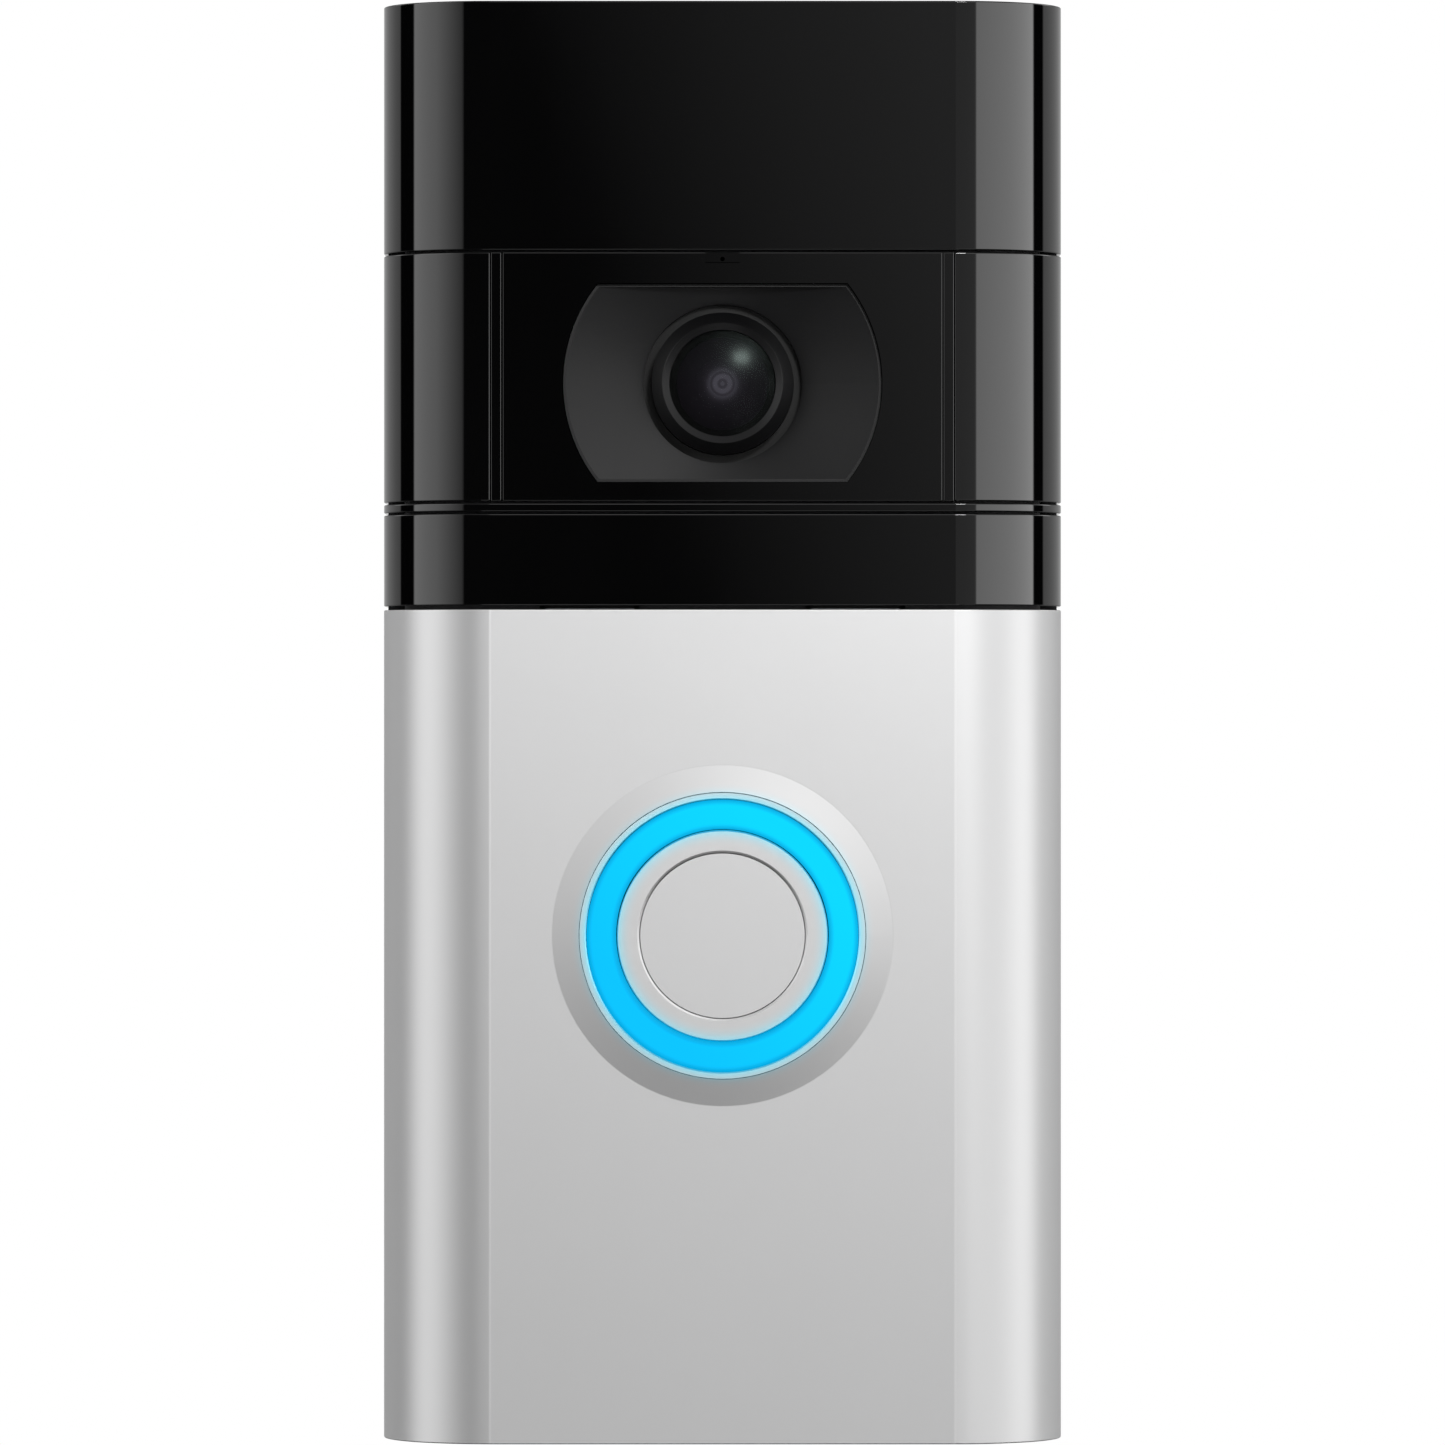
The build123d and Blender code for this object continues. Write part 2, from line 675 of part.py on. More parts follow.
# --------------------------------------------------------------------- battery
with BuildPart() as bay_cover:
    add(span(-bay_outer, bay_outer, bay_front, bay_front + bay_cover_thick, bay_floor + 0.1, bay_top + bay_wall).part)
pieces["bay_cover"] = bay_cover
battery_middle = (battery_rear + battery_front) / 2
contact_x = (-7.5, -2.5, 2.5, 7.5)
pieces["bay_contacts"] = group(
    [span(x - 0.9, x + 0.9, battery_middle - 2, battery_middle + 2, battery_top + 0.15, bay_top) for x in contact_x]
)
with BuildPart() as battery_case:
    add(span(-battery_half, battery_half, battery_rear, battery_front, end_cap_top, battery_top).part)
    fillet(battery_case.edges().filter_by(Axis.Z), 2.0)
    inside = battery_half - case_wall
    add(
        span(
            -inside, inside, battery_rear + case_wall, battery_front - case_wall, -70, battery_top - case_wall
        ).part,
        mode=Mode.SUBTRACT,
    )
    for x in contact_x:
        add(
            span(x - 1.5, x + 1.5, battery_middle - 2.5, battery_middle + 2.5, battery_top - 0.4, 20).part,
            mode=Mode.SUBTRACT,
        )
pieces["battery_case"] = battery_case
pieces["battery_contacts"] = group(
    [
        span(x - 1.4, x + 1.4, battery_middle - 2.4, battery_middle + 2.4, battery_top - 0.4, battery_top - 0.05)
        for x in contact_x
    ]
)
cells = []
for side in (-1, 1):
    with BuildPart() as cell:
        middle_x = side * 9.3
        add(span(middle_x - 8.9, middle_x + 8.9, 4.0, 16.1, -58.0, 4.5).part)
        fillet(cell.edges().filter_by(Axis.Z), 3.5)
        fillet(cell.edges().group_by(Axis.Z)[-1], 0.6)
    cells.append(cell)
pieces["battery_cells"] = group(cells)
with BuildPart() as battery_end_cap:
    add(span(-battery_half, battery_half, battery_rear, battery_front, -half_height, end_cap_top).part)
    fillet(battery_end_cap.edges().filter_by(Axis.Z), 2.0)
    chamfer(battery_end_cap.faces().sort_by(Axis.Z)[0].edges(), 0.4)
    plug = battery_half - case_wall - 0.1
    add(
        span(
            -plug, plug, battery_rear + case_wall + 0.1, battery_front - case_wall - 0.1, end_cap_top, -59.5
        ).part
    )
    # Pocket for the release tab, charging socket and a shallow finger grip.
    add(span(-6.3, 6.3, 11.5, 30, -70, end_cap_top).part, mode=Mode.SUBTRACT)
    add(span(8.0, 15.8, 8.6, 11.6, -70, -61.0).part, mode=Mode.SUBTRACT)
    add(span(-15, -8, 6.0, 10.0, -70, -64.0).part, mode=Mode.SUBTRACT)
pieces["battery_end_cap"] = battery_end_cap
with BuildPart() as charging_port:
    add(span(8.1, 15.7, 8.7, 11.5, -64.8, -61.1).part)
    add(span(8.5, 15.3, 9.1, 11.1, -70, -61.6).part, mode=Mode.SUBTRACT)
    add(span(9.6, 14.2, 9.8, 10.4, -63.8, -61.6).part)
pieces["charging_port"] = charging_port
with BuildPart() as release_tab:
    add(span(-6.0, 6.0, 13.3, 17.3, -64.7, end_cap_top - 0.2).part)
    for step in range(3):
        add(span(-4.5, 4.5, 14.1 + step, 14.5 + step, -70, -64.4).part, mode=Mode.SUBTRACT)
pieces["release_tab"] = release_tab

# -------------------------------------------------------------- wiring at rear
plates = []
for side in (-1, 1):
    with BuildPart() as plate:
        add(slab(side * terminal_x, terminal_z, 9.4, 9.4, 0.9, 1.5).part)
        add(cut_circle(side * terminal_x, terminal_z, 1.55, -1, 5), mode=Mode.SUBTRACT)
    plates.append(plate)
pieces["terminal_plates"] = group(plates)
terminals = []
for side in (-1, 1):
    with BuildPart() as terminal:
        add(tube(side * terminal_x, terminal_z, 1.5, 0, 0.85, 4.6).part)
        add(tube(side * terminal_x, terminal_z, 3.0, 0, 0.1, 0.88).part)
        add(slab(side * terminal_x, terminal_z, 4.8, 0.8, -1, 0.5).part, mode=Mode.SUBTRACT)
    terminals.append(terminal)
pieces["terminal_screws"] = group(terminals)
pieces["rear_label"] = slab(0, label_z, 33.6, 15.6, 0.05, 0.2, 1.3)

# ------------------------------------------------------------------- faceplate
plate_bottom = -half_height
with BuildPart() as faceplate:
    extrude(plan_section(0, side_rear, plate_bottom), amount=plate_top - plate_bottom)
    extrude(
        plan_section(skin, side_rear, plate_bottom + lock_flange),
        amount=plate_top - plate_bottom - lock_flange,
        mode=Mode.SUBTRACT,
    )
    # Behind the bottom flange the plate is open for the housing and the battery.
    floor_half = half_width - skin
    add(
        span(-floor_half, floor_half, 0, lock_flange_rear, plate_bottom - 1, plate_bottom + 3).part,
        mode=Mode.SUBTRACT,
    )
    fillet(skin_edges(faceplate, plate_top, plate_bottom), edge_round)
    # The cone round the button rises from the flat front. Its hole is wider behind, so the plate can tilt.
    cone_hole = bezel_radius + bezel_gap
    cone_slope = button_rise / (cone_radius - bezel_radius)
    cone_angle = math.atan(cone_slope)
    blend_start = cone_radius + cone_blend * math.tan(cone_angle / 2)
    blend = [
        (
            blend_start - cone_blend * math.sin(cone_angle * step / blend_steps),
            face_depth + cone_blend * (1 - math.cos(cone_angle * step / blend_steps)),
        )
        for step in range(blend_steps + 1)
    ]
    cone_tip = button_front - cone_slope * (bezel_gap + tip_bevel)
    cone_rear = face_depth - skin / 2
    tip = [(cone_hole + tip_bevel, cone_tip), (cone_hole, cone_tip - tip_bevel)]
    add(turned([(blend_start, cone_rear), *blend, *tip, (cone_hole, cone_rear)], button_z).part)
    add(cut_circle(0, button_z, cone_hole, cut_rear, cut_front), mode=Mode.SUBTRACT)
    add(cut_circle(0, button_z, hole_relief, cut_rear, face_depth + 0.1), mode=Mode.SUBTRACT)
    # Slot and counterbore for the security screw, open to the rear so that the plate can tilt.
    for half_slot, low, high in (
        (lock_screw + 0.3, plate_bottom - 1, plate_bottom + 5),
        (lock_head + 0.4, plate_bottom - 1, plate_bottom + lock_flange - lock_web),
    ):
        with BuildSketch(Plane.XY.offset(low)):
            with Locations((0, -lock_depth)):
                Circle(half_slot)
            with Locations((0, -lock_depth + 5)):
                Rectangle(2 * half_slot, 10)
        extrude(amount=high - low, mode=Mode.SUBTRACT)
    # Two tongues that hook up behind the sensor window.
    for side in (-1, 1):
        left = side * tongue_x - tongue_width / 2
        right = side * tongue_x + tongue_width / 2
        add(span(left, right, tongue_rear, skin_rear, 8.6, plate_top - 0.2).part)
        add(span(left, right, tongue_rear, tongue_front, 8.6, tongue_top).part)
pieces["faceplate"] = faceplate

# -------------------------------------------------------------- security screw
head_top = plate_bottom + lock_flange - lock_web - lock_clearance
with BuildPart() as security_screw:
    with BuildSketch(Plane.XY.offset(plate_bottom)):
        with Locations((0, -lock_depth)):
            Circle(lock_head)
    extrude(amount=head_top - plate_bottom)
    with BuildSketch(Plane.XY.offset(head_top)):
        with Locations((0, -lock_depth)):
            Circle(lock_screw)
    extrude(amount=5)
    # Six-lobed driver recess.
    with BuildSketch(Plane.XY.offset(plate_bottom)):
        with Locations((0, -lock_depth)):
            Circle(0.75)
            with PolarLocations(0.75, 6):
                Circle(0.22)
    extrude(amount=0.6, mode=Mode.SUBTRACT)
pieces["security_screw"] = security_screw

with BuildPart() as security_insert:
    with BuildSketch(Plane.XY.offset(chassis_bottom)):
        with Locations((0, -lock_depth)):
            Circle(1.6)
            Circle(lock_screw + 0.05, mode=Mode.SUBTRACT)
    extrude(amount=3.4)
pieces["security_insert"] = security_insert

os.makedirs("parts", exist_ok=True)
for label, builder in pieces.items():
    builder.part.label = label
    export_step(builder.part, f"parts/{label}.step")
print(len(pieces), "pieces written")
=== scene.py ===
"""Looks of a battery video doorbell: finishes, small fitted pieces, studio and camera.

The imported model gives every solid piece. This script dresses each one in a procedural finish, adds the
small details that the solids leave out, and sets the light. Lengths are metres, in the model's own
frame: the wall is y = 0, +Z is up, and a visitor stands on the -Y side.
"""

import logging
import math
from dataclasses import dataclass, field
from enum import Enum
from typing import Any, Iterable, Optional, Union

import bmesh
import bpy
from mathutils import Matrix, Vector


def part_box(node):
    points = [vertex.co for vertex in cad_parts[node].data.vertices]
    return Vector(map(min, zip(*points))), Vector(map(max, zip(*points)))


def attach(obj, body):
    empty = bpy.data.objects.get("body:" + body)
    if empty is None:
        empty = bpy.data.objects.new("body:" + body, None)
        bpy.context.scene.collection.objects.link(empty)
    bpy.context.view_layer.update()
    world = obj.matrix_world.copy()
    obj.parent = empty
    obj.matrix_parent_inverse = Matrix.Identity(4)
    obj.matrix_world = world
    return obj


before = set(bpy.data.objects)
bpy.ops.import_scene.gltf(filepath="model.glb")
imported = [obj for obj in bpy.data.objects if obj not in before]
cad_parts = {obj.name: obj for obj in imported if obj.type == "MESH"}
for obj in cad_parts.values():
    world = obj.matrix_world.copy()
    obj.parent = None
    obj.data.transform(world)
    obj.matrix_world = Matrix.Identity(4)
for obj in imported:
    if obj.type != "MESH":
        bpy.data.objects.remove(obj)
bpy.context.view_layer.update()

LOG = logging.getLogger("doorbell")
MM = 0.001
DEGREES = 180 / math.pi
Point = tuple[float, float, float]
Colour = tuple[float, float, float]
Number = Union[int, float]


# ------------------------------------------------------------------ node trees


class Wire:
    """A socket whose Python operators add Math nodes to its tree."""

    def __init__(self, tree: bpy.types.NodeTree, socket: bpy.types.NodeSocket) -> None:
        """Wraps one output socket of a tree."""
        self.tree = tree
        self.socket = socket

    def _math(self, operation: str, *values: Union["Wire", Number]) -> "Wire":
        """Adds one Math node.

        Args:
            operation: the Math node's operation.
            values: its inputs in order, sockets or numbers.

        Returns:
            The node's result.
        """
        node = self.tree.nodes.new("ShaderNodeMath")
        node.operation = operation
        for slot, value in zip(node.inputs, values):
            if isinstance(value, Wire):
                self.tree.links.new(value.socket, slot)
            else:
                slot.default_value = value
        return Wire(self.tree, node.outputs[0])

    def __add__(self, other: Union["Wire", Number]) -> "Wire":
        """self + other."""
        return self._math("ADD", self, other)

    __radd__ = __add__

    def __sub__(self, other: Union["Wire", Number]) -> "Wire":
        """self - other."""
        return self._math("SUBTRACT", self, other)

    def __rsub__(self, other: Number) -> "Wire":
        """other - self."""
        return self._math("SUBTRACT", other, self)

    def __mul__(self, other: Union["Wire", Number]) -> "Wire":
        """self * other."""
        return self._math("MULTIPLY", self, other)

    __rmul__ = __mul__

    def __truediv__(self, other: Union["Wire", Number]) -> "Wire":
        """self / other."""
        return self._math("DIVIDE", self, other)

    def __pow__(self, other: Number) -> "Wire":
        """self ** other."""
        return self._math("POWER", self, other)

    def absolute(self) -> "Wire":
        """The value without its sign."""
        return self._math("ABSOLUTE", self)

    def turn_from(self, forward: "Wire") -> "Wire":
        """The angle, in degrees, of the direction that goes this far across and this far forward."""
        return self._math("ARCTAN2", self, forward) * DEGREES

    def climb(self) -> "Wire":
        """The angle, in degrees, whose sine is the value."""
        return self._math("ARCSINE", self) * DEGREES

    def root(self) -> "Wire":
        """The square root."""
        return self._math("SQRT", self)

    def band(self, centre: float, half: float, soft: float) -> "Wire":
        """1 where the value is within half of centre, falling to 0 over soft.

        Args:
            centre: the middle of the band.
            half: half its full-strength width.
            soft: the width of its fade.

        Returns:
            A mask from 0 to 1.
        """
        away = (self - centre).absolute()
        return (1 - (away - half) / soft).clamped()

    def clamped(self) -> "Wire":
        """The value kept within 0 and 1."""
        node = self.tree.nodes.new("ShaderNodeClamp")
        self.tree.links.new(self.socket, node.inputs[0])
        return Wire(self.tree, node.outputs[0])


Input = Union[Wire, Number, tuple]


class Graph:
    """Builds the nodes of one material or world."""

    def __init__(self, tree: bpy.types.NodeTree) -> None:
        """Starts with an empty tree."""
        self.tree = tree
        tree.nodes.clear()

    def node(self, kind: str, settings: Optional[dict[str, Any]] = None, **inputs: Input) -> bpy.types.Node:
        """Adds a node of any type.

        Args:
            kind: the node's type name.
            settings: its properties, and "stops" for a ramp, all set first.
            inputs: values or wires by socket name, with spaces written as underscores.

        Returns:
            The new node.
        """
        made = self.tree.nodes.new(kind)
        for name, value in (settings or {}).items():
            if name == "stops":
                self._stops(made, value)
            else:
                setattr(made, name, value)
        for name, value in inputs.items():
            self.feed(made, name.replace("_", " "), value)
        return made

    def _stops(self, ramp: bpy.types.Node, stops: list[tuple[float, Colour]]) -> None:
        """Writes a ramp's stops, each a position and a colour."""
        elements = ramp.color_ramp.elements
        while len(elements) > 1:
            elements.remove(elements[-1])
        for index, (position, colour) in enumerate(stops):
            element = elements[0] if index == 0 else elements.new(position)
            element.position = position
            element.color = (*colour, 1.0)

    def feed(self, node: bpy.types.Node, name: Union[str, int], value: Input) -> None:
        """Sets or links one input of a node.

        Args:
            node: the node that takes the value.
            name: its socket's name or number.
            value: a wire, a number or a tuple.
        """
        slot = node.inputs[int(name)] if str(name).isdigit() else node.inputs[name]
        if isinstance(value, Wire):
            self.tree.links.new(value.socket, slot)
        elif isinstance(value, tuple) and slot.type == "RGBA":
            slot.default_value = (*value, 1.0) if len(value) == 3 else value
        else:
            slot.default_value = value

    def out(self, node: bpy.types.Node, name: Union[str, int] = 0) -> Wire:
        """One output of a node, as a wire."""
        return Wire(self.tree, node.outputs[name])

    def place(self) -> tuple[Wire, Wire, Wire]:
        """The surface point's x, y and z in the model's frame, in millimetres."""
        split = self.node("ShaderNodeSeparateXYZ", Vector=self.object_point())
        return tuple(self.out(split, axis) * 1000.0 for axis in "XYZ")

    def object_point(self) -> Wire:
        """The surface point in the model's frame."""
        return self.out(self.node("ShaderNodeTexCoord"), "Object")

    def scaled_point(self, scale: Point) -> Wire:
        """The surface point stretched by a scale for each axis."""
        made = self.node("ShaderNodeMapping", Vector=self.object_point(), Scale=scale)
        return self.out(made)

    def noise(self, scale: float, detail: float = 2.0, stretch: Optional[Point] = None) -> Wire:
        """Smooth noise over the surface, about 0.5.

        Args:
            scale: grains for each metre.
            detail: octaves.
            stretch: an optional scale for each axis before the noise.

        Returns:
            The noise's value.
        """
        point = self.scaled_point(stretch) if stretch else self.object_point()
        made = self.node("ShaderNodeTexNoise", Vector=point, Scale=scale, Detail=detail)
        return self.out(made, 0)

    def mix(self, factor: Input, first: Input, second: Input) -> Wire:
        """Blends two colours.

        Args:
            factor: 0 for the first, 1 for the second.
            first: a colour or wire.
            second: a colour or wire.

        Returns:
            The blended colour.
        """
        made = self.node("ShaderNodeMix", {"data_type": "RGBA"})
        self.feed(made, 0, factor)
        self.feed(made, 6, first)
        self.feed(made, 7, second)
        return Wire(self.tree, made.outputs[2])

    def ramp(self, value: Wire, stops: list[tuple[float, Colour]]) -> Wire:
        """A colour looked up along a ramp."""
        return self.out(self.node("ShaderNodeValToRGB", {"stops": stops}, Fac=value))

    def bump(self, height: Wire, strength: float, distance: float) -> Wire:
        """A normal raised by a height, in metres at full strength."""
        made = self.node("ShaderNodeBump", Strength=strength, Distance=distance, Height=height)
        return self.out(made)


def grey(value: float) -> Colour:
    """A neutral colour."""
    return (value, value, value)


# -------------------------------------------------------------------- finishes


@dataclass(frozen=True)
class Finish:
    """A finish with fine surface grain, slight tone changes and its own gloss."""

    name: str
    colour: Colour
    roughness: float = 0.5
    metallic: float = 0.0
    grain: float = 9000.0
    grain_height: float = 0.00002
    tone: float = 0.12
    gloss_change: float = 0.08
    specular: float = 0.5

    def build(self) -> bpy.types.Material:
        """Makes the material.

        Returns:
            The new material.
        """
        material = bpy.data.materials.new(self.name)
        material.use_nodes = True
        graph = Graph(material.node_tree)
        shader = graph.node("ShaderNodeBsdfPrincipled")
        self.dress(graph, shader)
        end = graph.node("ShaderNodeOutputMaterial")
        graph.feed(end, "Surface", graph.out(shader))
        return material

    def dress(self, graph: Graph, shader: bpy.types.Node) -> None:
        """Feeds the shader's inputs. Special finishes replace this.

        Args:
            graph: the material's graph.
            shader: its main shader.
        """
        broad = graph.noise(self.grain * 0.03, 3.0)
        fine = graph.noise(self.grain, 2.0)
        light = tuple(min(1.0, part * (1 + self.tone)) for part in self.colour)
        dark = tuple(part * (1 - self.tone) for part in self.colour)
        graph.feed(shader, "Base Color", graph.mix(broad, dark, light))
        graph.feed(shader, "Roughness", self.roughness + (broad - 0.5) * self.gloss_change)
        graph.feed(shader, "Metallic", self.metallic)
        graph.feed(shader, "Specular IOR Level", self.specular)
        graph.feed(shader, "Normal", graph.bump(fine, 0.6, self.grain_height))


@dataclass(frozen=True)
class SatinSilver(Finish):
    """Satin nickel paint: metallic, with flakes too fine to pick out and a painted highlight along the
    crease.
    """

    crease: float = 20.95
    sheen_line: float = 0.1
    plate_top: float = 10.25
    centre_z: float = -19.2
    cone_radius: float = 14.15
    cone_half: float = 1.25
    cone_matte: float = 0.15
    mask_soft: float = 0.05
    line_gain: float = 0.10
    tongue_dark: float = 0.97

    def dress(self, graph: Graph, shader: bpy.types.Node) -> None:
        """Metal flakes, a painted highlight line where the front turns, a softer cone and dark, unpainted
        tongues.
        """
        x, _, z = graph.place()
        rise = z - self.centre_z
        cone = (x * x + rise * rise).root().band(self.cone_radius, self.cone_half, self.mask_soft)
        tongue = ((z - self.plate_top) / self.mask_soft).clamped()
        flakes = graph.noise(14000.0, 2.0)
        cloud = graph.noise(70.0, 3.0)
        # painted highlight: a thin line of brighter base colour along the crease where the front turns
        line = x.absolute().band(self.crease, self.sheen_line * 0.5, self.sheen_line)
        grainy = self.colour[0] * (0.97 + 0.06 * flakes) * (0.99 + 0.02 * cloud)
        tone = grainy * (1 + self.line_gain * line) * (1 - self.tongue_dark * tongue)
        colour = graph.node("ShaderNodeCombineColor", Red=tone, Green=tone, Blue=tone * 1.004)
        graph.feed(shader, "Base Color", graph.out(colour))
        graph.feed(shader, "Metallic", self.metallic)
        graph.feed(shader, "Roughness", self.roughness + (flakes - 0.5) * 0.10 + self.cone_matte * cone)
        graph.feed(shader, "Normal", graph.bump(flakes, 0.25, self.grain_height))


@dataclass(frozen=True)
class LitSilver(SatinSilver):
    """The satin silver beside the light band, with the band's painted glow on it."""

    middle: float = 10.925
    half_width: float = 1.325
    reach: float = 1.7
    falloff: float = 2.6
    seep_most: float = 0.55

    def dress(self, graph: Graph, shader: bpy.types.Node) -> None:
        """The plain satin, then a painted glow: a cyan tint and cyan emission that fade away from the band.
        """
        super().dress(graph, shader)
        x, _, z = graph.place()
        rise = z - self.centre_z
        away = ((x * x + rise * rise).root() - self.middle).absolute() - self.half_width
        # painted glow of the band: cyan base colour and emission, strongest at the band's edge
        painted_glow = (1 - away / self.reach).clamped() ** self.falloff * self.seep_most
        plain = shader.inputs["Base Color"].links[0].from_socket
        tinted = graph.mix(painted_glow, Wire(graph.tree, plain), (0.02, 0.62, 0.78))
        graph.feed(shader, "Base Color", tinted)
        graph.feed(shader, "Emission Color", graph.mix(painted_glow, grey(0.0), (0.0, 0.32, 0.45)))
        graph.feed(shader, "Emission Strength", 1.0)


@dataclass(frozen=True)
class GlossBlack(Finish):
    """Piano-black moulding: deep gloss with a very slight ripple and faint wipe marks."""

    def dress(self, graph: Graph, shader: bpy.types.Node) -> None:
        """A mirror-like black with a long, shallow ripple."""
        ripple = graph.noise(34.0, 1.0)
        wipe = graph.noise(160.0, 4.0, (1.0, 1.0, 0.25))
        tone = 0.0004 + 0.0005 * wipe
        colour = graph.node("ShaderNodeCombineColor", Red=tone, Green=tone, Blue=tone * 1.15)
        graph.feed(shader, "Base Color", graph.out(colour))
        graph.feed(shader, "Roughness", self.roughness + wipe * 0.02)
        graph.feed(shader, "Specular IOR Level", self.specular)
        graph.feed(shader, "Normal", graph.bump(ripple, 0.2, self.grain_height))


@dataclass(frozen=True)
class GlowBand(Finish):
    """Frosted diffuser lit from behind: even cyan, greener to the upper right, softer at its edges."""

    centre_z: float = -19.2
    inner: float = 9.6
    outer: float = 12.25
    strength: float = 1.0
    soft_edge: float = 0.5
    lean_share: float = 0.9

    def dress(self, graph: Graph, shader: bpy.types.Node) -> None:
        """Cyan light that fades slightly at the two edges."""
        x, _, z = graph.place()
        rise = z - self.centre_z
        radius = (x * x + rise * rise).root()
        middle = (self.inner + self.outer) / 2
        half = (self.outer - self.inner) / 2
        core = radius.band(middle, half - self.soft_edge, self.soft_edge)
        lean = ((x + rise) / (2 * self.outer) * self.lean_share + 0.5).clamped()
        frost = graph.noise(5000.0, 2.0)
        lit = graph.mix(lean, (0.0, 0.50, 0.96), (0.0, 0.64, 0.98))
        edge = graph.mix(core, (0.0, 0.34, 0.66), lit)
        graph.feed(shader, "Base Color", (0.002, 0.06, 0.08))
        graph.feed(shader, "Specular IOR Level", self.specular)
        graph.feed(shader, "Roughness", 0.42 + 0.12 * frost)
        graph.feed(shader, "Emission Color", edge)
        graph.feed(shader, "Emission Strength", self.strength)
        graph.feed(shader, "Normal", graph.bump(frost, 0.3, self.grain_height))


@dataclass(frozen=True)
class ClearLens(Finish):
    """Coated front glass: half clear, with a weak green-white reflection."""

    tint: Colour = (0.80, 1.0, 0.93)
    cover: float = 0.5

    def dress(self, graph: Graph, shader: bpy.types.Node) -> None:
        """Softly glossy glass with a hint of haze."""
        haze = graph.noise(900.0, 2.0)
        graph.feed(shader, "Base Color", graph.mix(haze, grey(0.0005), grey(0.0015)))
        graph.feed(shader, "Roughness", self.roughness + 0.04 * haze)
        graph.feed(shader, "Specular IOR Level", self.specular)
        graph.feed(shader, "Specular Tint", self.tint)
        graph.feed(shader, "Alpha", self.cover)


@dataclass(frozen=True)
class Optics(Finish):
    """Dark inner lens with pale violet rings round its middle, painted reflections of the coated inner
    lenses that glow as emission.
    """

    centre_z: float = 30.6
    reach: float = 5.0
    glow: float = 1.0

    def dress(self, graph: Graph, shader: bpy.types.Node) -> None:
        """Concentric painted reflection rings, measured out from the lens axis, in both colour and emission.
        """
        x, _, z = graph.place()
        rise = z - self.centre_z
        radius = (x * x + rise * rise).root()
        haze = graph.noise(400.0, 2.0)
        # painted reflections: these ring tones stand in for reflections in the coated lenses and are fed to
        # emission as well
        stops = [
            (0.000, 0.150),
            (0.030, 0.165),
            (0.048, 0.095),
            (0.080, 0.100),
            (0.105, 0.170),
            (0.165, 0.165),
            (0.190, 0.095),
            (0.210, 0.070),
            (0.235, 0.115),
            (0.275, 0.080),
            (0.310, 0.045),
            (0.370, 0.028),
            (0.480, 0.018),
            (0.720, 0.010),
            (1.000, 0.006),
        ]
        painted_ring_stops = [(place, (0.97 * level, 0.93 * level, 1.16 * level)) for place, level in stops]
        tone = graph.ramp(radius / self.reach, painted_ring_stops)
        graph.feed(shader, "Base Color", graph.mix(haze * 0.3, tone, (0.004, 0.003, 0.006)))
        graph.feed(shader, "Emission Color", tone)
        graph.feed(shader, "Emission Strength", self.glow)
        graph.feed(shader, "Roughness", self.roughness + 0.05 * haze)
        graph.feed(shader, "Specular Tint", (0.9, 0.45, 0.85))
        graph.feed(shader, "Specular IOR Level", self.specular)


@dataclass(frozen=True)
class CircuitBoard(Finish):
    """Solder-masked board with copper tracks showing through as a paler weave."""

    def dress(self, graph: Graph, shader: bpy.types.Node) -> None:
        """Square-cornered tracks from a square cell pattern, and the mask's gloss."""
        cells = graph.node(
            "ShaderNodeTexVoronoi",
            {"distance": "CHEBYCHEV", "feature": "F2"},
            Vector=graph.object_point(),
            Scale=420.0,
        )
        tracks = graph.out(cells, "Distance").band(0.55, 0.05, 0.03)
        mask = graph.noise(700.0, 3.0)
        base = graph.mix(mask, self.colour, tuple(part * 1.5 for part in self.colour))
        copper = tuple(min(1.0, part * 2.4) for part in self.colour)
        graph.feed(shader, "Base Color", graph.mix(tracks, base, copper))
        graph.feed(shader, "Roughness", 0.34 + 0.1 * mask)
        graph.feed(shader, "Normal", graph.bump(tracks, 0.5, self.grain_height))


@dataclass(frozen=True)
class BrushedTin(Finish):
    """Plated sheet metal with fine lines along one direction."""

    def dress(self, graph: Graph, shader: bpy.types.Node) -> None:
        """Fine upright lines, with uneven gloss."""
        lines = graph.noise(2500.0, 3.0, (1.0, 1.0, 0.04))
        tone = graph.mix(lines, tuple(0.85 * part for part in self.colour), self.colour)
        graph.feed(shader, "Base Color", tone)
        graph.feed(shader, "Metallic", self.metallic)
        graph.feed(shader, "Roughness", self.roughness + 0.15 * (lines - 0.5))
        graph.feed(shader, "Normal", graph.bump(lines, 0.3, self.grain_height))


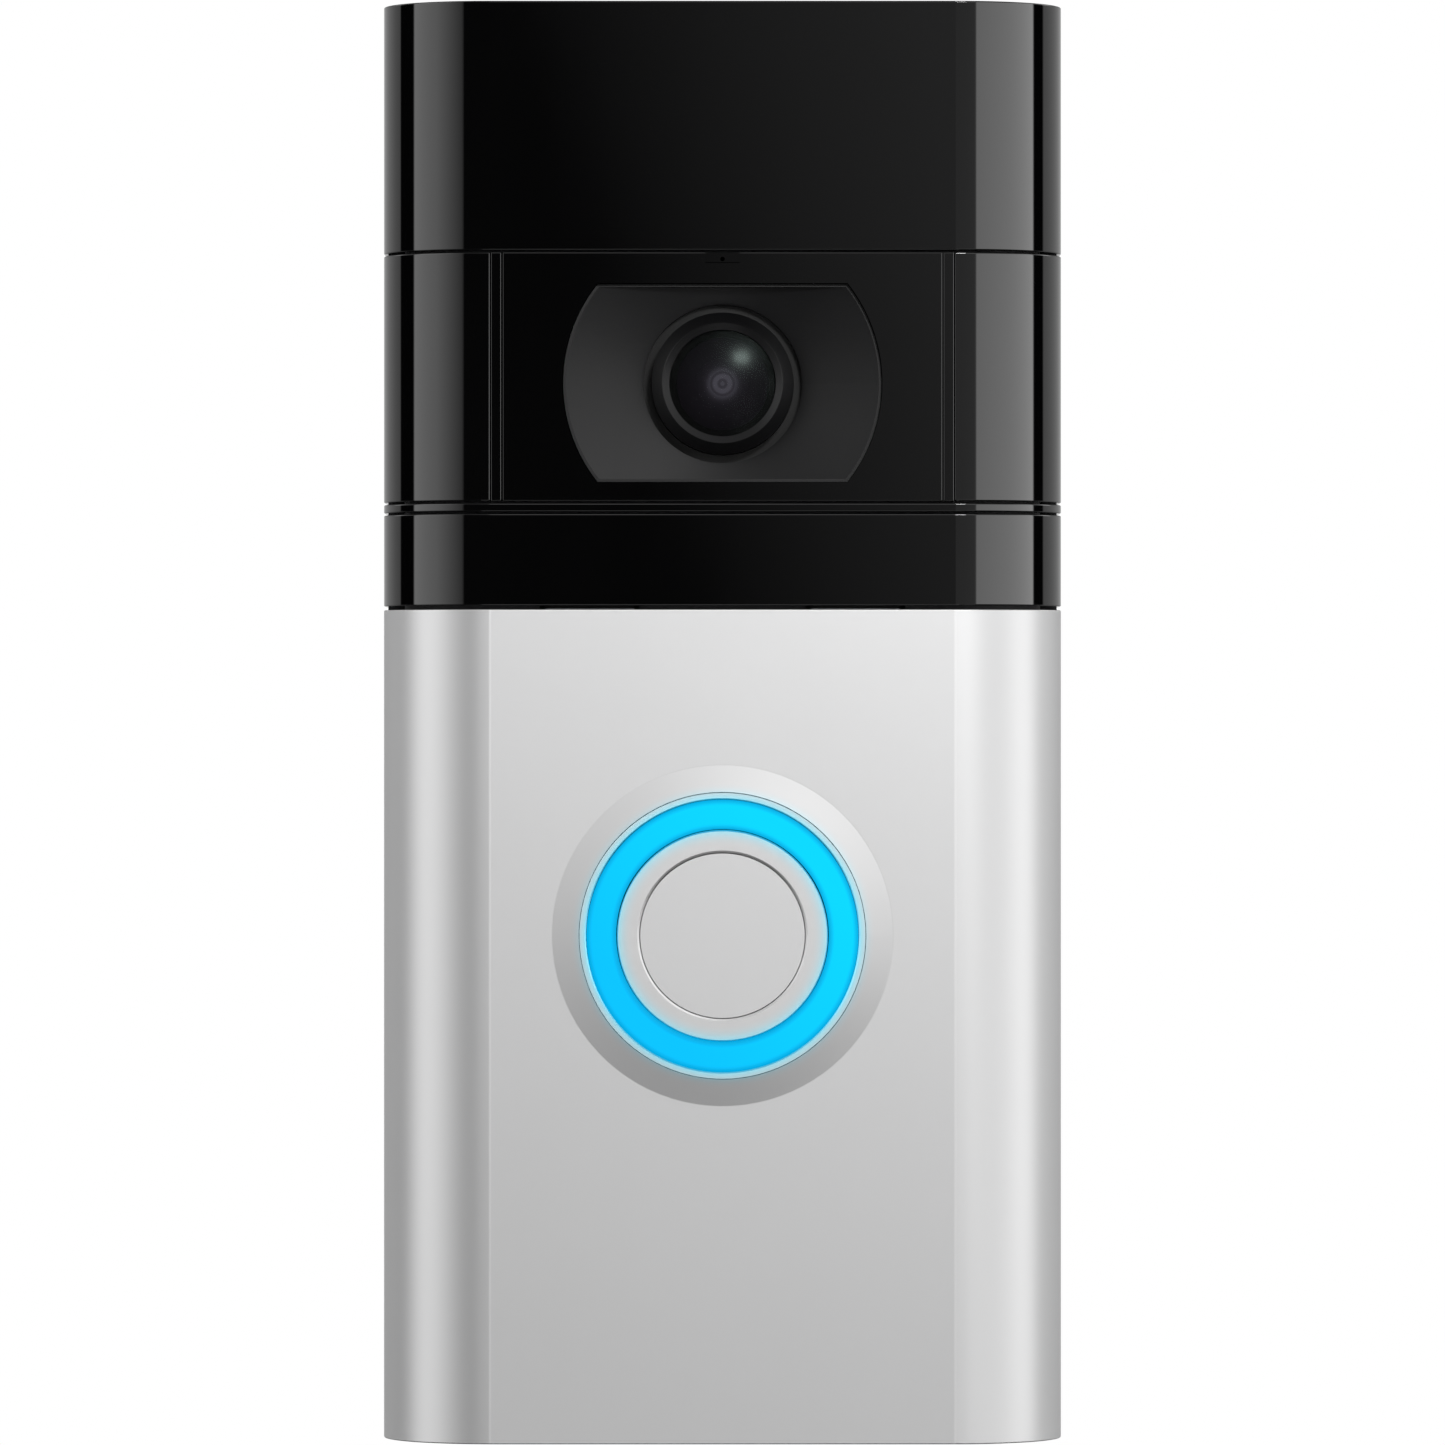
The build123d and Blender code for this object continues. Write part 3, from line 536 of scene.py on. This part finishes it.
class Look(Enum):
    """Every finish on the doorbell, by the record's material slot."""

    SATIN_SILVER = SatinSilver("satin_silver", grey(0.60), 0.46, 1.0, grain_height=0.000006)
    LIT_SILVER = LitSilver("lit_silver", grey(0.60), 0.46, 1.0, grain_height=0.000006)
    GLOSS_BLACK = GlossBlack("gloss_black", grey(0.004), 0.02, specular=0.63, grain_height=0.00002)
    MATTE_BLACK = Finish("matte_black", (0.018, 0.018, 0.020), 0.62, grain=5200.0, grain_height=0.00003)
    DARK_GREY = Finish(
        "dark_grey", (0.0035, 0.0035, 0.0039), 0.42, grain=8000.0, grain_height=0.00001, specular=0.29
    )
    RUBBER = Finish("rubber", (0.016, 0.016, 0.016), 0.75, grain=3000.0)
    GLASS = ClearLens("glass", grey(0.0), 0.16, specular=0.10)
    LENS_OPTIC = Optics("lens_optic", grey(0.0), 0.12, specular=0.8)
    LIGHT_BAND = GlowBand("light_band", (0.0, 0.7, 1.0), 0.4, specular=0.03, grain_height=0.000005)
    FROSTED = Finish("frosted", (0.80, 0.86, 0.88), 0.38, grain=4000.0)
    FILM = Finish("film", (0.05, 0.05, 0.055), 0.30, grain=2600.0)
    BOARD_GREEN = CircuitBoard("board_green", (0.012, 0.085, 0.040), 0.35)
    CHIP_BLACK = Finish("chip_black", (0.022, 0.022, 0.024), 0.48, grain=7000.0)
    CONNECTOR_WHITE = Finish("connector_white", (0.74, 0.71, 0.62), 0.42)
    TIN = BrushedTin("tin", (0.70, 0.70, 0.67), 0.32, 1.0)
    BRASS = BrushedTin("brass", (0.72, 0.53, 0.24), 0.30, 1.0)
    GOLD = BrushedTin("gold", (0.88, 0.66, 0.30), 0.22, 1.0, grain_height=0.00001)
    SCREW_STEEL = BrushedTin("screw_steel", (0.56, 0.56, 0.58), 0.26, 1.0, grain_height=0.00001)
    CELL_WRAP = Finish("cell_wrap", (0.06, 0.19, 0.46), 0.30, grain=1500.0)
    CAPACITOR_BLUE = Finish("capacitor_blue", (0.03, 0.05, 0.22), 0.28)
    FLEX_AMBER = Finish("flex_amber", (0.42, 0.17, 0.03), 0.32, grain=1800.0)
    LABEL_PAPER = Finish("label_paper", (0.80, 0.80, 0.79), 0.58, grain=6000.0)
    SETUP_ORANGE = Finish("setup_orange", (0.78, 0.22, 0.03), 0.42)
    INFRARED_RESIN = Finish("infrared_resin", (0.050, 0.010, 0.018), 0.12, specular=0.7)
    LIGHT_CHIP = Finish("light_chip", (0.86, 0.84, 0.66), 0.35)


class Paintbox:
    """Builds each finish once and hands it out."""

    def __init__(self) -> None:
        """Starts with no finish built."""
        self.made: dict[Look, bpy.types.Material] = {}

    def __getitem__(self, look: Look) -> bpy.types.Material:
        """The material of a look."""
        if look not in self.made:
            self.made[look] = look.value.build()
        return self.made[look]


PAINT = Paintbox()


# ------------------------------------------------------------- mesh and pieces


def mesh_piece(name: str, mesh: bpy.types.Mesh, body: str, look: Look) -> bpy.types.Object:
    """Puts a finished mesh into the model as a piece that rides on a body.

    Args:
        name: the piece's name.
        mesh: its finished mesh, with its place in it.
        body: the moving body that carries it.
        look: its finish.

    Returns:
        The new object.
    """
    piece = bpy.data.objects.new(name, mesh)
    bpy.context.scene.collection.objects.link(piece)
    mesh.materials.clear()
    mesh.materials.append(PAINT[look])
    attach(piece, body)
    LOG.info("piece %s on %s: %d faces", name, body, len(mesh.polygons))
    return piece


class GeometryTree:
    """A Geometry Nodes tree with named number inputs, evaluated to a plain mesh."""

    def __init__(self, name: str) -> None:
        """Makes an empty tree with one geometry output.

        Args:
            name: the tree's name.
        """
        self.tree = bpy.data.node_groups.new(name, "GeometryNodeTree")
        self.tree.interface.new_socket("Geometry", in_out="OUTPUT", socket_type="NodeSocketGeometry")
        self.values: dict[str, Any] = {}
        self.source = self.tree.nodes.new("NodeGroupInput")
        self.sink = self.tree.nodes.new("NodeGroupOutput")

    def number(self, name: str, value: Any, kind: str = "NodeSocketFloat") -> bpy.types.NodeSocket:
        """Adds a named input.

        Args:
            name: the input's name.
            value: the value that this piece gives it.
            kind: the socket's type.

        Returns:
            The socket inside the tree that carries it.
        """
        socket = self.tree.interface.new_socket(name, in_out="INPUT", socket_type=kind)
        self.values[socket.identifier] = value
        return self.source.outputs[name]

    def add(self, kind: str, settings: Optional[dict[str, Any]] = None, **links: Any) -> bpy.types.Node:
        """Adds a node, then sets or links its inputs by name.

        Args:
            kind: the node's type name.
            settings: its properties.
            links: sockets or values, with spaces in names written as underscores.

        Returns:
            The new node.
        """
        made = self.tree.nodes.new(kind)
        for name, value in (settings or {}).items():
            setattr(made, name, value)
        for name, value in links.items():
            slot = made.inputs[name.replace("_", " ")]
            if isinstance(value, bpy.types.NodeSocket):
                self.tree.links.new(value, slot)
            else:
                slot.default_value = value
        return made

    def finish(self, geometry: bpy.types.NodeSocket, look: Look, name: str) -> bpy.types.Mesh:
        """Ends the tree in Realize Instances and Set Material and evaluates it.

        Args:
            geometry: the socket to realize.
            look: the finish to set.
            name: the mesh's name.

        Returns:
            A plain mesh.
        """
        real = self.add("GeometryNodeRealizeInstances", Geometry=geometry)
        dressed = self.add("GeometryNodeSetMaterial", Geometry=real.outputs[0])
        dressed.inputs["Material"].default_value = PAINT[look]
        self.tree.links.new(dressed.outputs[0], self.sink.inputs[0])
        holder = bpy.data.objects.new(name + "_maker", bpy.data.meshes.new(name + "_seed"))
        bpy.context.scene.collection.objects.link(holder)
        modifier = holder.modifiers.new("maker", "NODES")
        modifier.node_group = self.tree
        for identifier, value in self.values.items():
            modifier[identifier] = value
        graph = bpy.context.evaluated_depsgraph_get()
        mesh = bpy.data.meshes.new_from_object(holder.evaluated_get(graph))
        mesh.name = name
        holder.modifiers.remove(modifier)
        bpy.data.objects.remove(holder)
        return mesh


@dataclass
class Row:
    """Small identical blocks along a line, made by Geometry Nodes."""

    name: str
    body: str
    look: Look
    start: Point
    step: Point
    count: int
    size: Point

    def build(self) -> bpy.types.Object:
        """Makes the row.

        Returns:
            The finished piece.
        """
        tree = GeometryTree(self.name)
        count = tree.number("Count", self.count, "NodeSocketInt")
        start = tree.number("Start", self.start, "NodeSocketVector")
        step = tree.number("Step", self.step, "NodeSocketVector")
        size = tree.number("Size", self.size, "NodeSocketVector")
        line = tree.add(
            "GeometryNodeMeshLine", {"mode": "OFFSET"}, Count=count, Start_Location=start, Offset=step
        )
        block = tree.add("GeometryNodeMeshCube", Size=size)
        spread = tree.add("GeometryNodeInstanceOnPoints", Points=line.outputs[0], Instance=block.outputs[0])
        mesh = tree.finish(spread.outputs[0], self.look, self.name)
        return mesh_piece(self.name, mesh, self.body, self.look)


@dataclass
class ScatteredChips:
    """Small board parts on a grid, kept and sized at random from a fixed seed."""

    name: str
    body: str
    low: Point
    high: Point
    pitch: float
    look: Look
    seed: int = 7
    keep: float = 0.55
    block_size: Point = (1.1 * MM, 0.5 * MM, 0.7 * MM)
    least: Point = (0.7, 0.8, 0.5)
    most: Point = (1.7, 1.1, 1.2)

    def build(self) -> bpy.types.Object:
        """Makes the parts over the board's free area.

        Returns:
            The finished piece.
        """
        tree = GeometryTree(self.name)
        wide = self.high[0] - self.low[0]
        tall = self.high[2] - self.low[2]
        middle = tuple((a + b) / 2 for a, b in zip(self.low, self.high))
        columns = tree.number("Columns", int(wide / self.pitch), "NodeSocketInt")
        rows = tree.number("Rows", int(tall / self.pitch), "NodeSocketInt")
        width = tree.number("Width", wide)
        height = tree.number("Height", tall)
        keep = tree.number("Kept share", self.keep)
        seed = tree.number("Seed", self.seed, "NodeSocketInt")
        grid = tree.add(
            "GeometryNodeMeshGrid", Size_X=width, Size_Y=height, Vertices_X=columns, Vertices_Y=rows
        )
        stand = tree.add("GeometryNodeTransform", Geometry=grid.outputs[0])
        stand.inputs["Rotation"].default_value = (math.pi / 2, 0.0, 0.0)
        stand.inputs["Translation"].default_value = middle
        chosen = tree.add("FunctionNodeRandomValue", {"data_type": "BOOLEAN"}, Probability=keep, Seed=seed)
        length = tree.add("FunctionNodeRandomValue", {"data_type": "FLOAT_VECTOR"}, Seed=seed)
        length.inputs[0].default_value = self.least
        length.inputs[1].default_value = self.most
        block = tree.add("GeometryNodeMeshCube")
        block.inputs["Size"].default_value = self.block_size
        spread = tree.add("GeometryNodeInstanceOnPoints", Points=stand.outputs[0], Instance=block.outputs[0])
        tree.tree.links.new(chosen.outputs["Value"], spread.inputs["Selection"])
        tree.tree.links.new(length.outputs["Value"], spread.inputs["Scale"])
        mesh = tree.finish(spread.outputs[0], self.look, self.name)
        return mesh_piece(self.name, mesh, self.body, self.look)


# --------------------------------------------------------------- sub-assemblies


@dataclass
class Assembly:
    """A group of solid pieces and their finishes."""

    looks: dict[str, Look] = field(default_factory=dict)

    def dress(self) -> None:
        """Gives every solid piece of the group its finish."""
        for node, look in self.looks.items():
            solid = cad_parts[node]
            solid.data.materials.clear()
            solid.data.materials.append(PAINT[look])
            LOG.info("dressed %s in %s", node, look.value.name)

    def build(self) -> None:
        """Adds the group's small pieces, if it has any."""


def looks(names: Iterable[str], look: Look) -> dict[str, Look]:
    """One look for several pieces."""
    return {name: look for name in names}


@dataclass
class Casing(Assembly):
    """Rear housing, chassis, gloss skins, faceplate and what holds them."""

    looks: dict[str, Look] = field(
        default_factory=lambda: {
            **looks(("rear_housing", "front_chassis", "bay_cover"), Look.MATTE_BLACK),
            **looks(("top_cap", "left_wing", "right_wing", "divider_strip"), Look.GLOSS_BLACK),
            **looks(("sensor_window", "camera_plate"), Look.GLOSS_BLACK),
            **looks(("chassis_screws", "security_screw", "terminal_screws"), Look.SCREW_STEEL),
            **looks(("terminal_plates", "security_insert"), Look.BRASS),
            "housing_seal": Look.RUBBER,
            "rear_label": Look.LABEL_PAPER,
            "faceplate": Look.LIT_SILVER,
        }
    )


@dataclass
class Camera(Assembly):
    """The recessed camera with its optics, boards and infrared lights."""

    looks: dict[str, Look] = field(
        default_factory=lambda: {
            **looks(("camera_dish", "lens_barrel"), Look.DARK_GREY),
            "lens_glass": Look.GLASS,
            "lens_elements": Look.LENS_OPTIC,
            "lens_seal": Look.RUBBER,
            "lens_holder": Look.MATTE_BLACK,
            "image_sensor": Look.CHIP_BLACK,
            **looks(("camera_board", "infrared_board", "sensor_board"), Look.BOARD_GREEN),
            "infrared_lights": Look.INFRARED_RESIN,
            **looks(("microphone", "motion_sensors"), Look.TIN),
            "sensor_lens": Look.FILM,
            **looks(("camera_flex", "antenna"), Look.FLEX_AMBER),
        }
    )


@dataclass
class ButtonStack(Assembly):
    """The doorbell button, its light band and the board behind it."""

    looks: dict[str, Look] = field(
        default_factory=lambda: {
            **looks(("button_bezel", "button_collar"), Look.LIT_SILVER),
            "button_disc": Look.SATIN_SILVER,
            **looks(("button_housing", "button_plunger"), Look.MATTE_BLACK),
            "button_seal": Look.RUBBER,
            "light_band": Look.LIGHT_BAND,
            "light_guide": Look.FROSTED,
            "button_lights": Look.LIGHT_CHIP,
            "button_board": Look.BOARD_GREEN,
            **looks(("button_switch", "setup_switch"), Look.CHIP_BLACK),
            "button_flex": Look.FLEX_AMBER,
            "setup_button": Look.SETUP_ORANGE,
        }
    )
    parts_front: float = 0.2 * MM
    parts_left: float = 3 * MM
    parts_right: float = 8 * MM
    parts_low: float = 4 * MM
    parts_high: float = 20 * MM
    parts_pitch: float = 2.2 * MM

    def build(self) -> None:
        """Adds the small parts soldered round the button."""
        low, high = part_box("button_board")
        front = low[1] - self.parts_front
        ScatteredChips(
            "button_board_parts",
            "doorbell_body",
            (low[0] + self.parts_left, front, low[2] + self.parts_low),
            (high[0] - self.parts_right, front, low[2] + self.parts_high),
            self.parts_pitch,
            Look.CHIP_BLACK,
        ).build()


@dataclass
class Electronics(Assembly):
    """Main board, speaker and the parts on it."""

    looks: dict[str, Look] = field(
        default_factory=lambda: {
            "main_board": Look.BOARD_GREEN,
            "shield_can": Look.TIN,
            "board_chips": Look.CHIP_BLACK,
            "board_connectors": Look.CONNECTOR_WHITE,
            "backup_capacitor": Look.CAPACITOR_BLUE,
            "speaker": Look.MATTE_BLACK,
            "bay_contacts": Look.GOLD,
        }
    )
    parts_front: float = 0.2 * MM
    parts_left: float = 12 * MM
    parts_right: float = 22 * MM
    parts_low: float = 20 * MM
    parts_under_top: float = 3 * MM
    parts_pitch: float = 2.0 * MM
    parts_seed: int = 3

    def build(self) -> None:
        """Adds the small parts soldered to the main board."""
        low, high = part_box("main_board")
        front = low[1] - self.parts_front
        ScatteredChips(
            "main_board_parts",
            "doorbell_body",
            (low[0] + self.parts_left, front, low[2] + self.parts_low),
            (high[0] - self.parts_right, front, high[2] - self.parts_under_top),
            self.parts_pitch,
            Look.CHIP_BLACK,
            seed=self.parts_seed,
        ).build()


@dataclass
class Battery(Assembly):
    """The slide-out battery pack."""

    looks: dict[str, Look] = field(
        default_factory=lambda: {
            "battery_case": Look.MATTE_BLACK,
            "battery_contacts": Look.GOLD,
            "battery_cells": Look.CELL_WRAP,
            **looks(("battery_end_cap", "release_tab"), Look.DARK_GREY),
            "charging_port": Look.TIN,
        }
    )
    rib_pitch: float = 1.6 * MM
    rib_count: int = 9
    rib_size: Point = (22 * MM, 0.2 * MM, 0.7 * MM)
    rib_front: float = 0.05 * MM
    rib_low: float = 4 * MM
    pin_pitch: float = 0.8 * MM
    pin_count: int = 5
    pin_size: Point = (0.35 * MM, 0.06 * MM, 1.6 * MM)
    pin_rear: float = 0.36 * MM
    pin_left: float = 2.2 * MM
    pin_low: float = 2.0 * MM

    def build(self) -> None:
        """Adds the grip ribs on the front of the case and the port's contacts."""
        low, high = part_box("battery_case")
        front = low[1] - self.rib_front
        Row(
            "battery_grip_ribs",
            "battery_pack",
            Look.DARK_GREY,
            (0.0, front, low[2] + self.rib_low),
            (0.0, 0.0, self.rib_pitch),
            self.rib_count,
            self.rib_size,
        ).build()
        port_low, port_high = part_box("charging_port")
        port_middle = (port_low[1] + port_high[1]) / 2
        Row(
            "charging_port_pins",
            "battery_pack",
            Look.GOLD,
            (port_low[0] + self.pin_left, port_middle + self.pin_rear, port_low[2] + self.pin_low),
            (self.pin_pitch, 0.0, 0.0),
            self.pin_count,
            self.pin_size,
        ).build()


# ---------------------------------------------------------------- studio, camera


@dataclass
class Studio:
    """Soft studio light fixed in the room, a pale floor and a white surround."""

    floor_z: float = -0.142
    floor_radius: float = 0.62
    band: float = 4.7
    fade: float = 1.5
    panel_scale: float = 4.0
    panel_top: float = 25.0
    panel_blend: float = 10.0
    overhead: float = 0.32
    underfoot: float = 0.05
    slant: float = 0.285
    slant_edge: float = 14.0
    slant_fade: float = 8.0
    rim_start: float = 0.95
    rim_slope: float = 2.2

    def world(self) -> None:
        """A surround that is white to the camera and a set of soft panels to the surfaces."""
        surround = bpy.data.worlds.new("studio")
        bpy.context.scene.world = surround
        surround.use_nodes = True
        graph = Graph(surround.node_tree)
        split = graph.node("ShaderNodeSeparateXYZ")
        graph.feed(split, "Vector", graph.out(graph.node("ShaderNodeTexCoord"), "Generated"))
        across, away, rise = (graph.out(split, axis) for axis in "XYZ")
        turn = across.turn_from(away * -1.0)
        tilt = rise.climb()
        panels = graph.node("ShaderNodeSeparateColor")
        near_front = ((self.slant_edge - turn.absolute()) / self.slant_fade).clamped()
        slanted = turn + tilt * self.slant * near_front
        graph.feed(panels, "Color", graph.ramp(slanted / 360.0 + 0.5, self._panel_stops()))
        level, high, low = (graph.out(panels, part) for part in ("Red", "Green", "Blue"))
        above = ((tilt - self.band) / self.fade).clamped()
        below = ((tilt * -1.0 - self.band) / self.fade).clamped()
        cap = ((tilt.absolute() - self.panel_top) / self.panel_blend).clamped()
        glow = level * (1 - above - below) + high * above + low * below
        ends = self.overhead * cap * above + self.underfoot * cap * below
        glow = self.panel_scale * glow * (1 - cap) + ends
        lit = graph.node("ShaderNodeBackground", Color=(1.0, 1.0, 1.0), Strength=glow)
        plain = graph.node("ShaderNodeBackground", Color=(1.0, 1.0, 1.0), Strength=1.0)
        seen = graph.out(graph.node("ShaderNodeLightPath"), "Is Camera Ray")
        both = graph.node("ShaderNodeMixShader")
        graph.feed(both, 0, seen)
        graph.feed(both, 1, graph.out(lit))
        graph.feed(both, 2, graph.out(plain))
        end = graph.node("ShaderNodeOutputWorld")
        graph.feed(end, "Surface", graph.out(both))

    def _panel_stops(self) -> list[tuple[float, Colour]]:
        """Panel brightness round the horizon, from behind on the left to behind on the right.

        Returns:
            Ramp stops, with 0.5 the direction towards the visitor. The three parts of a colour are the
            brightness level with the doorbell, above it and below it.
        """
        levels = [
            (-180, 0.60, 0.40, 0.35),
            (-132, 0.60, 0.45, 0.35),
            (-124, 0.55, 1.90, 0.30),
            (-114.5, 0.52, 1.70, 0.24),
            (-113, 0.005, 0.60, 0.12),
            (-91.5, 0.005, 0.60, 0.12),
            (-89.5, 2.13, 2.40, 0.90),
            (-60, 1.67, 2.10, 0.50),
            (-30, 0.46, 0.75, 0.20),
            (-28.9, 0.020, 0.19, 0.05),
            (0.10, 0.020, 0.50, 0.10),
            (0.30, 0.085, 0.55, 0.11),
            (0.85, 0.090, 0.85, 0.15),
            (1.05, 0.155, 1.00, 0.18),
            (1.30, 0.160, 1.20, 0.20),
            (1.50, 0.225, 1.40, 0.25),
            (1.75, 0.29, 1.70, 0.30),
            (2.00, 0.35, 1.80, 0.80),
            (22.4, 0.44, 2.70, 1.00),
            (23.4, 2.27, 0.90, 0.12),
            (60, 2.80, 1.30, 0.12),
            (93, 3.47, 3.60, 0.25),
            (95, 0.005, 1.20, 0.20),
            (110.5, 0.005, 1.20, 0.20),
            (112, 0.60, 2.80, 0.50),
            (124, 0.60, 3.00, 0.50),
            (132, 0.60, 0.45, 0.35),
            (180, 0.60, 0.40, 0.35),
        ]
        return [
            (angle / 360.0 + 0.5, tuple(part / self.panel_scale for part in parts))
            for angle, *parts in levels
        ]

    def lamp(
        self, name: str, towards: Point, distance: float, size: tuple[float, float], power: float
    ) -> None:
        """Adds a rectangular soft lamp that faces the doorbell.

        Args:
            name: the lamp's name.
            towards: the direction from the doorbell to the lamp.
            distance: how far away it stands, in metres.
            size: its width and height, in metres.
            power: its power in watts.
        """
        data = bpy.data.lights.new(name, "AREA")
        data.shape = "RECTANGLE"
        data.size, data.size_y = size
        data.energy = power
        lamp = bpy.data.objects.new(name, data)
        bpy.context.scene.collection.objects.link(lamp)
        direction = Vector(towards).normalized()
        lamp.location = direction * distance
        lamp.rotation_euler = direction.to_track_quat("Z", "Y").to_euler()

    def floor(self) -> None:
        """A pale round floor that fades into the surround at its rim."""
        mesh = bpy.data.meshes.new("floor")
        shape = bmesh.new()
        bmesh.ops.create_circle(shape, cap_ends=True, segments=96, radius=self.floor_radius)
        bmesh.ops.translate(shape, verts=shape.verts, vec=(0, 0, self.floor_z))
        shape.to_mesh(mesh)
        shape.free()
        disc = bpy.data.objects.new("floor", mesh)
        bpy.context.scene.collection.objects.link(disc)
        material = bpy.data.materials.new("pale_floor")
        material.use_nodes = True
        graph = Graph(material.node_tree)
        x, y, _ = graph.place()
        reach = (x * x + y * y).root() / (self.floor_radius * 1000)
        speckle = graph.noise(900.0, 3.0)
        shader = graph.node("ShaderNodeBsdfPrincipled", Roughness=0.7)
        graph.feed(shader, "Base Color", graph.mix(speckle, grey(0.86), grey(0.90)))
        graph.feed(shader, "Alpha", ((self.rim_start - reach) * self.rim_slope).clamped())
        end = graph.node("ShaderNodeOutputMaterial")
        graph.feed(end, "Surface", graph.out(shader))
        mesh.materials.append(material)
        disc.visible_glossy = False

    def build(self) -> None:
        """Sets the surround, the lamps and the floor."""
        self.world()
        self.lamp("key_lamp", (0.169, -0.929, 0.329), distance=0.45, size=(0.055, 0.043), power=0.56)
        self.lamp("left_lamp", (-0.780, -0.415, 0.469), distance=0.40, size=(0.25, 0.20), power=0.12)
        self.lamp("low_lamp", (-0.02, -0.80, -0.60), distance=0.45, size=(0.16, 0.10), power=0.10)
        self.floor()
        LOG.info("studio is set")


@dataclass
class Viewpoint:
    """A long lens level with the middle of the doorbell."""

    distance: float = 0.915
    frame_height: float = 0.13012
    sensor: float = 36.0
    face_depth: float = 0.0272

    def build(self) -> None:
        """Makes the camera, straight in front of the doorbell."""
        data = bpy.data.cameras.new("viewpoint")
        data.sensor_width = self.sensor
        data.lens = self.sensor * self.distance / self.frame_height
        data.clip_start = 0.01
        camera = bpy.data.objects.new("viewpoint", data)
        camera.location = (0.0, -self.face_depth - self.distance, 0.0)
        camera.rotation_euler = (math.pi / 2, 0.0, 0.0)
        bpy.context.scene.collection.objects.link(camera)
        bpy.context.scene.camera = camera
        LOG.info("camera stands %.3f m off", self.distance)


def main() -> None:
    """Builds the camera, the studio and each sub-assembly in order."""
    logging.basicConfig(level=logging.INFO, format="%(message)s")
    bpy.context.scene.view_settings.view_transform = "Standard"
    Viewpoint().build()
    Studio().build()
    for assembly in (Casing(), Camera(), ButtonStack(), Electronics(), Battery()):
        assembly.dress()
        assembly.build()


if __name__ == "__main__":
    main()
